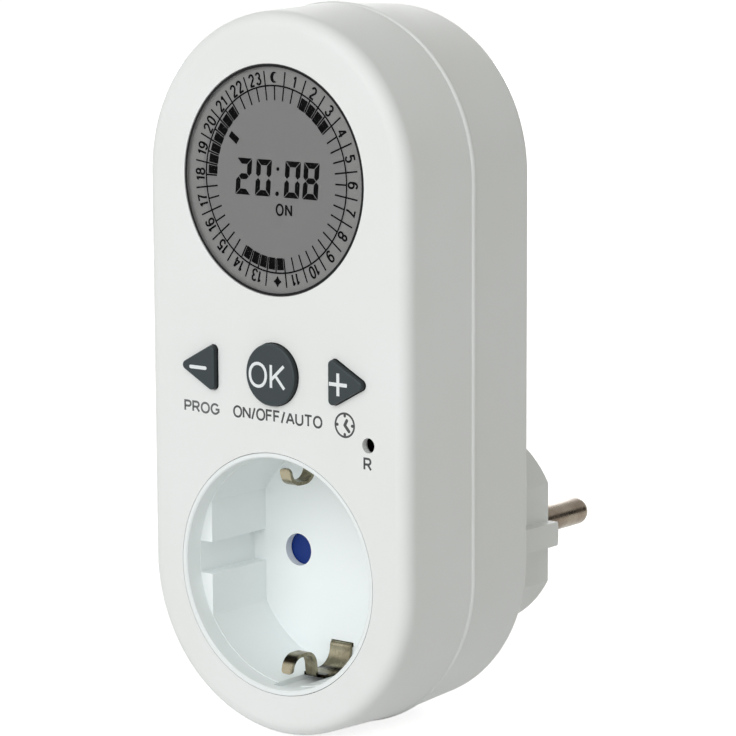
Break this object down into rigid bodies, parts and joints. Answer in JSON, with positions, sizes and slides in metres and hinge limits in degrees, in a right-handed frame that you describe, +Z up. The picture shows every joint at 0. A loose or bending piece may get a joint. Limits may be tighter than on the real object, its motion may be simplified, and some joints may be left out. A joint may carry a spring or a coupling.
{
  "type": "plug-in timer switch",
  "caption": "Digital plug-in timer switch: oblong white housing, round display, arrow and OK keys, recessed earthed socket in front, earthed plug with round pins behind.",
  "frame": {"origin": "middle of the plug's end face, between the two pins", "axes": "+X to the right seen from the front, +Y the way the plug pins point, +Z up along the housing"},
  "size_m": [0.056, 0.0756, 0.1213],
  "materials": {
    "housing_white": "satin moulded ABS",
    "insert_white": "glossy moulded urea, cooler white than the shells",
    "key_grey": "dark slate plastic with white marks",
    "window_clear": "clear acrylic window, slightly glossy",
    "lcd_glass": "grey reflective display panel with dark segments",
    "frame_black": "black moulded frame",
    "zebra_rubber": "striped conductive rubber",
    "board_green": "green solder mask",
    "screw_steel": "zinc plated",
    "nickel_plate": "nickel plated brass, slightly yellow",
    "contact_brass": "bare spring brass",
    "shutter_blue": "blue acetal",
    "carrier_white": "natural polyamide",
    "chip_black": "black moulding compound",
    "battery_steel": "plain steel can",
    "coil_copper": "enamelled copper winding",
    "relay_black": "dark relay case",
    "relay_iron": "zinc plated soft iron",
    "capacitor_box": "grey box capacitor",
    "sleeve_dark": "shrunk sleeve",
    "varistor_blue": "dipped coating",
    "resistor_body": "flameproof coating",
    "ribbon_grey": "PVC ribbon",
    "switch_black": "black switch base",
    "plunger_brown": "moulded plunger"
  },
  "bodies": {
    "housing": {"front_shell": "housing_white", "rear_shell": "housing_white", "housing_screws": "screw_steel", "socket_insert": "insert_white", "insert_screws": "screw_steel", "shutter_spring": "relay_iron", "contact_carrier": "carrier_white", "carrier_screws": "screw_steel", "neutral_contact": "contact_brass", "line_contact": "contact_brass", "neutral_link": "contact_brass", "line_input_bar": "contact_brass", "line_output_bar": "contact_brass", "plug_pin_neutral": "nickel_plate", "plug_pin_line": "nickel_plate", "pin_clamp": "carrier_white", "clamp_screw": "screw_steel", "earth_strap": "nickel_plate", "earth_clip_top": "nickel_plate", "earth_clip_bottom": "nickel_plate", "lcd_window": "window_clear", "lcd_panel": "lcd_glass", "lcd_frame": "frame_black", "zebra_strip_upper": "zebra_rubber", "zebra_strip_lower": "zebra_rubber", "control_pcb": "board_green", "pcb_screws": "screw_steel", "microcontroller": "chip_black", "crystal": "battery_steel", "backup_battery": "battery_steel", "power_pcb": "board_green", "power_pcb_screws": "screw_steel", "board_ribbon": "ribbon_grey", "dropper_capacitor": "capacitor_box", "smoothing_capacitor": "sleeve_dark", "varistor": "varistor_blue", "fusible_resistor": "resistor_body", "rectifier_diodes": "chip_black", "relay_base": "relay_black", "relay_cover": "relay_black", "relay_bobbin": "carrier_white", "relay_coil": "coil_copper", "relay_yoke": "relay_iron", "relay_fixed_contact": "contact_brass", "ok_switch_body": "switch_black", "minus_switch_body": "switch_black", "plus_switch_body": "switch_black", "reset_switch_body": "switch_black"},
    "ok_key": {"ok_button": "key_grey", "ok_switch_plunger": "plunger_brown"},
    "minus_key": {"minus_button": "key_grey", "minus_switch_plunger": "plunger_brown"},
    "plus_key": {"plus_button": "key_grey", "plus_switch_plunger": "plunger_brown"},
    "reset_key": {"reset_switch_plunger": "plunger_brown"},
    "shutter": {"shutter_rotor": "shutter_blue"},
    "armature": {"relay_armature": "relay_iron", "relay_contact_blade": "contact_brass"}
  },
  "joints": [
    {"name": "ok_press", "type": "slide", "parent": "housing", "child": "ok_key", "axis": [0, 1, 0], "range_m": [0, 0.0004], "stiffness_N_per_m": 2500, "springref_m": -0.0003},
    {"name": "minus_press", "type": "slide", "parent": "housing", "child": "minus_key", "axis": [0, 1, 0], "range_m": [0, 0.0004], "stiffness_N_per_m": 2500, "springref_m": -0.0003},
    {"name": "plus_press", "type": "slide", "parent": "housing", "child": "plus_key", "axis": [0, 1, 0], "range_m": [0, 0.0004], "stiffness_N_per_m": 2500, "springref_m": -0.0003},
    {"name": "reset_press", "type": "slide", "parent": "housing", "child": "reset_key", "axis": [0, 1, 0], "range_m": [0, 0.0004], "stiffness_N_per_m": 2500, "springref_m": -0.0003},
    {"name": "shutter_turn", "type": "hinge", "parent": "housing", "child": "shutter", "pos_m": [0, -0.0355, 0], "axis": [0, 1, 0], "range_deg": [0, 40], "stiffness_Nm_per_rad": 0.002, "springref_deg": -5.73},
    {"name": "relay_close", "type": "hinge", "parent": "housing", "child": "armature", "pos_m": [0.0123, -0.04, 0.0492], "axis": [-1, 0, 0], "range_deg": [0, 3.5], "stiffness_Nm_per_rad": 0.02, "springref_deg": -1.72}
  ]
}
